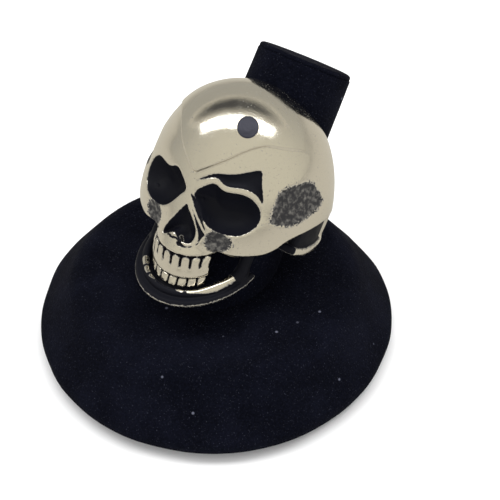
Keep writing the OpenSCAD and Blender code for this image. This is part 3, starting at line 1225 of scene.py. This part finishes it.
@dataclass
class Base:
    """The velvet base of the stand, with its foam, its wooden core and its felt."""

    row: Row
    radius: float = 30.0
    height: float = 13.0
    edge_r: float = 2.4
    shoulder: tuple[float, float, float] = (21.0, 8.5, 4.5)
    felt: float = 0.6
    cloth: float = 0.8
    hem: float = 22.6

    def outline(self, inset: float, steps: int) -> Points:
        """The half outline from the edge's lowest point up to the top, inset from the cloth's face.

        Args:
            inset: How far inside the cloth's face it runs.
            steps: How many stretches it has.

        Returns:
            The outline's points.
        """
        low = (self.radius - self.edge_r, self.felt + self.edge_r)
        high = self.shoulder[:2]
        low_r, high_r = self.edge_r - inset, self.shoulder[2] - inset
        run = math.hypot(high[0] - low[0], high[1] - low[1])
        lean = math.atan2(high[1] - low[1], high[0] - low[0])
        slope = math.degrees(lean - math.acos((low_r - high_r) / run))
        first, second = arc(low, low_r, -90, slope, steps), arc(high, high_r, slope, 90, steps)
        return first + along_line(first[-1], second[0], steps) + second

    def velvet(self) -> None:
        """The cloth, drawn over the edge to a hem, with the soft waves of stretched pile."""
        steps = 12
        outer, inner = self.outline(0.0, steps), self.outline(self.cloth, steps)
        top = along_line(outer[-1], (0.0, self.height), 3 * steps)
        hem_low, hem_high = (self.hem, self.felt), (self.hem, self.felt + self.cloth)
        profile = [hem_low, *along_line(hem_low, outer[0], 4), *outer, *top, (0.0, self.height),
                   (0.0, self.height - self.cloth), *reversed(inner), hem_high]
        made = turned("base_cloth", profile, 224)
        self.soften(made)
        made.data.transform(Matrix.Scale(MM, 4))
        self.open_socket(made)
        self.row.place(made, Body.STAND, Slot.VELVET, Paint.VELVET, "base_velvet")

    def soften(self, made: bpy.types.Object) -> None:
        """Moves the cloth's face in and out a little, more at its edge than where the ring stands.

        Args:
            made: The piece.
        """
        count = len(made.data.vertices)
        flat = np.empty(count * 3)
        made.data.vertices.foreach_get("co", flat)
        p = flat.reshape(-1, 3)
        reach, angle = np.hypot(p[:, 0], p[:, 1]), np.arctan2(p[:, 1], p[:, 0])
        wave = np.zeros(count)
        for turns, size in ((2, 0.1), (3, 0.13), (5, 0.09), (8, 0.06), (13, 0.05), (21, 0.03)):
            wave += size * np.sin(turns * angle + self.row.chance.uniform(0, math.tau))
        rim = smooth_step(22.0, 28.5, reach) * smooth_step(self.felt + 0.2, 2.5, p[:, 2])
        ripple = 0.06 * np.sin(p[:, 0] * 0.55 + 1.1) * np.sin(p[:, 1] * 0.47 - 0.6)
        p[:, :2] += (p[:, :2].T * wave * rim / np.maximum(reach, 1.0)).T
        shown = smooth_step(self.cloth, 0.0, self.height - p[:, 2]) + rim
        p[:, 2] -= np.maximum(ripple + 0.05, 0.0) * np.clip(shown, 0.0, 1.0) * (reach < 21.0)
        made.data.vertices.foreach_set("co", p.ravel())
        made.data.update()

    @staticmethod
    def open_socket(made: bpy.types.Object) -> None:
        """Cuts the opening that the core of the post passes through.

        Args:
            made: The piece.
        """
        bpy.ops.mesh.primitive_cylinder_add(vertices=64, radius=8.1 * MM, depth=24 * MM)
        cutter = bpy.context.object
        cutter.matrix_world = Matrix.Translation(FINGER.along(0.0)) @ Euler(
            (-math.radians(FINGER.lean_deg), 0, 0)).to_matrix().to_4x4()
        select_only(made)
        cut = made.modifiers.new("socket", "BOOLEAN")
        cut.operation, cut.object, cut.solver = "DIFFERENCE", cutter, "EXACT"
        bpy.ops.object.modifier_apply(modifier=cut.name)
        bpy.data.objects.remove(cutter)

    def build(self) -> None:
        """Builds the base."""
        self.velvet()
        self.row.dress("base_core", Paint.WOOD)
        self.row.dress("base_foam", Paint.FOAM)
        self.row.dress("base_felt", Paint.FELT)


@dataclass
class Post:
    """The leaning post, with its velvet sleeve and the disc that closes it."""

    row: Row
    end_r: float = 8.1
    root_r: float = 8.8
    length: float = 37.2
    cloth: float = 0.8

    def radius(self, u: float) -> float:
        """The sleeve's outer radius at a distance along the post."""
        return self.end_r + (self.length - u) * (self.root_r - self.end_r) / self.length

    def sleeve(self) -> None:
        """The sleeve, a tube with a sewn seam down its back."""
        steps = 192
        low, high, wall = -9.0, self.length - self.cloth, self.cloth
        outside = along_line((self.radius(low), low), (self.radius(high) - 0.02, high - 0.25), 60)
        lip = arc((self.radius(high) - 0.3, high - 0.3), 0.3, 0, 90, 4)
        inside = along_line((self.radius(high) - wall, high), (self.radius(low) - wall, low), 30)
        profile = [(self.radius(low), low), *outside, *lip, (self.radius(high) - wall, high), *inside,
                   (self.radius(low) - wall, low)]
        made = turned("post_sleeve", profile, steps)
        flat = np.empty(len(made.data.vertices) * 3)
        made.data.vertices.foreach_get("co", flat)
        p = flat.reshape(-1, 3)
        reach, angle = np.hypot(p[:, 0], p[:, 1]), np.arctan2(p[:, 0], p[:, 1])
        outer = smooth_step(-0.5, -0.1, reach - np.array([self.radius(u) for u in p[:, 2]]))
        swell = 0.05 * np.sin(3 * angle + 0.14 * p[:, 2]) * np.sin(0.21 * p[:, 2] + 0.4)
        aside = np.abs(angle * reach)
        seam = 0.08 * np.exp(-((aside - 0.55) ** 2) / 0.08) - 0.22 * np.exp(-(aside**2) / 0.05)
        p[:, :2] += (p[:, :2].T * (swell + seam) * outer / np.maximum(reach, 1.0)).T
        made.data.vertices.foreach_set("co", p.ravel())
        made.data.transform(FINGER.matrix())
        self.trim(made)
        self.row.place(made, Body.STAND, Slot.VELVET, Paint.VELVET, "post_velvet")

    @staticmethod
    def trim(made: bpy.types.Object) -> None:
        """Cuts the sleeve off just under the top of the base.

        Args:
            made: The piece.
        """
        bpy.ops.mesh.primitive_cube_add(size=0.05, location=(0, 0, 0.0129 - 0.025))
        cutter = bpy.context.object
        select_only(made)
        cut = made.modifiers.new("trim", "BOOLEAN")
        cut.operation, cut.object, cut.solver = "DIFFERENCE", cutter, "EXACT"
        bpy.ops.object.modifier_apply(modifier=cut.name)
        bpy.data.objects.remove(cutter)

    def disc(self) -> None:
        """The round of cloth over the post's end, with a rolled edge."""
        r, low = self.radius(self.length) - 0.05, self.length - self.cloth
        edge = arc((r - 0.62, low + 0.22), 0.56, -20, 90, 8)
        profile = [(0.0, low + 0.02), (r - 0.3, low + 0.02), *edge,
                   *along_line(edge[-1], (0.0, self.length - 0.05), 12), (0.0, self.length - 0.05)]
        made = turned("post_end_cloth", profile, 128)
        made.data.transform(FINGER.matrix())
        self.row.place(made, Body.STAND, Slot.VELVET, Paint.VELVET, "post_end_disc")

    def build(self) -> None:
        """Builds the post."""
        self.sleeve()
        self.disc()
        self.row.dress("post_core", Paint.WOOD)
        self.row.dress("post_screw", Paint.SCREW)
        self.row.dress("screw_washer", Paint.SCREW)


@dataclass
class SkullRing:
    """The ring: its band, its skull, its jaw and the plaque on its forehead."""

    row: Row
    sculpt: SkullSculpt = field(default_factory=SkullSculpt)
    plaque_at: tuple[float, float, float] = (4.67, -19.98, 24.78)
    plaque_size: tuple[float, float] = (3.4, 3.8)
    plaque_points: int = 48

    def castings(self) -> list[Casting]:
        """The three castings and the spaces that they fill.

        Returns:
            The castings.
        """
        s = self.sculpt
        return [
            Casting("skull_casting", "skull_head", s.head, s.head_black_and_shade,
                    (-17.4, -3.2, -5.0), (17.4, 23.6, 32.4), 0.212),
            Casting("band_casting", "ring_band", s.band, s.band_black_and_shade,
                    (-16.6, -12.6, 6.6), (16.6, 9.6, 19.6), 0.2),
            Casting("jaw_casting", "lower_jaw", s.jaw, s.jaw_black_and_shade,
                    (-11.4, 6.6, -9.4), (11.4, 19.8, 6.0), 0.15),
        ]

    def plaque(self) -> None:
        """The blackened plaque, a plain oval let into the forehead."""
        centre = Vector(self.plaque_at)
        out = self.forehead_slope(centre)
        side = Vector((0, 0, 1)).cross(out).normalized()
        up = out.cross(side)
        turns = np.linspace(0.0, math.tau, self.plaque_points, endpoint=False)
        outline = np.stack([np.cos(turns), np.sin(turns)], axis=1) * self.plaque_size / 2
        rings = [(1.0, -0.35), (1.0, 0.02), (0.9, 0.12), (0.45, 0.16)]
        points, faces, count = [], [], len(outline)
        for size, lift in rings:
            for a, b in outline * size:
                on_face = self.on_forehead(centre + side * a + up * b, out)
                points.append(on_face + out * lift)
        for ring in range(len(rings) - 1):
            for i in range(count):
                a, b = ring * count + i, ring * count + (i + 1) % count
                faces.append((a, b, b + count, a + count))
        faces += [tuple(range(count))[::-1], tuple(range((len(rings) - 1) * count, len(rings) * count))]
        data = bpy.data.meshes.new("plaque")
        data.from_pydata([tuple(p) for p in points], [], faces)
        data.transform(FINGER.matrix())
        made = bpy.data.objects.new("plaque", data)
        bpy.context.scene.collection.objects.link(made)
        point_outwards(made)
        self.row.place(made, Body.RING, Slot.BLACK, Paint.PLAQUE, "forehead_plaque")

    def face_distance(self, place: Vector) -> float:
        """The distance from the dome of a place in (x, -n, u)."""
        x, n, u = (np.array([v]) for v in (place.x, -place.y, place.z))
        return float(self.sculpt.dome(x, n, u, self.sculpt.chart_place(x, n))[0])

    def forehead_slope(self, place: Vector) -> Vector:
        """The way out of the dome at a place.

        Args:
            place: The place, in (x, -n, u).

        Returns:
            The way out, one long.
        """
        step = 0.4
        parts = [self.face_distance(place + Vector(np.eye(3)[i]) * step)
                 - self.face_distance(place - Vector(np.eye(3)[i]) * step) for i in range(3)]
        return Vector(parts).normalized()

    def on_forehead(self, place: Vector, out: Vector) -> Vector:
        """Moves a place onto the dome, along one direction.

        Args:
            place: The place, in (x, -n, u).
            out: The way out of the dome.

        Returns:
            The place on the dome.
        """
        for _ in range(4):
            place = place - out * self.face_distance(place)
        return place

    def build(self) -> None:
        """Builds the ring."""
        for casting in self.castings():
            made = casting.mesh()
            self.row.place(made, Body.RING, Slot.RING, Paint.CAST, casting.node)
        self.plaque()


# ---------------------------------------------------------------- studio


@dataclass(frozen=True)
class Studio:
    """The camera, the lights, the floor and the sky."""

    camera_at: tuple[float, float, float] = (0.1266, -0.16902, 0.22252)
    camera_to: tuple[float, float, float] = (0.00718, 0.0, 0.02226)
    view_deg: float = 16.0

    def camera(self) -> None:
        """The camera of the main view."""
        data = bpy.data.cameras.new("camera")
        data.sensor_width = data.sensor_height = 36.0
        data.sensor_fit = "HORIZONTAL"
        data.angle = math.radians(self.view_deg)
        data.clip_start = 0.01
        made = bpy.data.objects.new("camera", data)
        made.location = self.camera_at
        look = Vector(self.camera_to) - Vector(self.camera_at)
        made.rotation_euler = look.to_track_quat("-Z", "Y").to_euler()
        bpy.context.scene.collection.objects.link(made)
        bpy.context.scene.camera = made

    @staticmethod
    def lamp(name: str, at: tuple[float, float, float], size: tuple[float, float], power: float,
             colour: tuple[float, float, float] = (1.0, 1.0, 1.0)) -> None:
        """A soft lamp that faces the row.

        Args:
            name: The name.
            at: Where it is.
            size: Its width and depth.
            power: Its power, in watts.
            colour: Its colour.
        """
        data = bpy.data.lights.new(name, "AREA")
        data.shape, data.size, data.size_y = "RECTANGLE", *size
        data.energy, data.color = power, colour
        made = bpy.data.objects.new(name, data)
        made.location = at
        made.rotation_euler = (Vector((0, 0, 0.03)) - Vector(at)).to_track_quat("-Z", "Y").to_euler()
        bpy.context.scene.collection.objects.link(made)

    @staticmethod
    def card(name: str, at: tuple[float, float, float], size: tuple[float, float], shade: float) -> None:
        """A card that the metal reflects and the camera doesn't see.

        Args:
            name: The name.
            at: Where it is.
            size: Its width and depth.
            shade: How dark its middle is.
        """
        bpy.ops.mesh.primitive_plane_add(size=1.0, location=at)
        made = bpy.context.object
        made.name = name
        made.scale = (size[0], size[1], 1.0)
        made.rotation_euler = (Vector((0, 0, 0.03)) - Vector(at)).to_track_quat("-Z", "Y").to_euler()
        material = bpy.data.materials.new(name)
        material.use_nodes = True
        build = Shader(material.node_tree)
        away = build.node("ShaderNodeVectorMath", operation="LENGTH")
        build.put(away.inputs[0], build.place(2.0))
        glow = build.node("ShaderNodeEmission")
        fade = build.spread(away.outputs["Value"], 0.2, 1.0)
        build.put(glow.inputs["Color"], build.mix(fade, (shade, shade, shade, 1), (0.62, 0.59, 0.51, 1)))
        build.put(build.node("ShaderNodeOutputMaterial").inputs["Surface"], glow.outputs[0])
        made.data.materials.append(material)
        made.visible_camera = made.visible_shadow = made.visible_diffuse = False

    @staticmethod
    def floor() -> None:
        """The white floor, which the metal sees as a darker warm grey: a painted reflection."""
        bpy.ops.mesh.primitive_plane_add(size=6.0, location=(0, 0, 0))
        made = bpy.context.object
        made.name = "floor"
        material = bpy.data.materials.new("floor")
        material.use_nodes = True
        build = Shader(material.node_tree)
        path = build.node("ShaderNodeLightPath")
        # Painted reflection: glossy rays see the floor as a darker warm grey than the camera does.
        shade = build.mix(path.outputs["Is Glossy Ray"], (0.93, 0.93, 0.93, 1), (0.42, 0.4, 0.35, 1))
        build.principled(Base_Color=shade, Roughness=0.9, Specular_IOR_Level=0.0)
        made.data.materials.append(material)

    @staticmethod
    def sky() -> None:
        """The white surroundings, which the metal sees warmer and greyer."""
        world = bpy.data.worlds.new("sky")
        world.use_nodes = True
        bpy.context.scene.world = world
        build = Shader(world.node_tree)
        path = build.node("ShaderNodeLightPath")
        way = build.node("ShaderNodeVectorMath", operation="DOT_PRODUCT")
        build.put(way.inputs[0], build.node("ShaderNodeTexCoord").outputs["Generated"])
        way.inputs[1].default_value = (0.55, -0.45, 0.1)
        turn = build.spread(way.outputs["Value"], -0.6, 0.6)
        tone = build.mix(turn, (0.42, 0.41, 0.37, 1), (0.68, 0.65, 0.55, 1))
        seen = build.mix(path.outputs["Is Glossy Ray"], (1.0, 1.0, 1.0, 1), tone)
        back = build.node("ShaderNodeBackground")
        build.put(back.inputs["Color"], seen)
        back.inputs["Strength"].default_value = 1.06
        build.put(build.node("ShaderNodeOutputWorld").inputs["Surface"], back.outputs[0])

    def build(self) -> None:
        """Builds the studio."""
        self.camera()
        self.floor()
        self.sky()
        self.lamp("ceiling", (-0.012, 0.016, 0.42), (1.0, 0.16), 1.7)
        self.card("shade", (-0.17, 0.23, 0.44), (1.8, 0.34), 0.08)
        scene = bpy.context.scene
        scene.view_settings.view_transform = "Standard"


def main() -> None:
    """Builds the row."""
    logging.basicConfig(level=logging.INFO)
    for made in list(bpy.data.objects):
        bpy.data.objects.remove(made)
    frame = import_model()
    row = Row(frame["nodes"], Palette(), np.random.default_rng(SEED))
    Base(row).build()
    Post(row).build()
    SkullRing(row).build()
    Studio().build()
    bpy.ops.object.select_all(action="DESELECT")


if __name__ == "__main__":
    main()
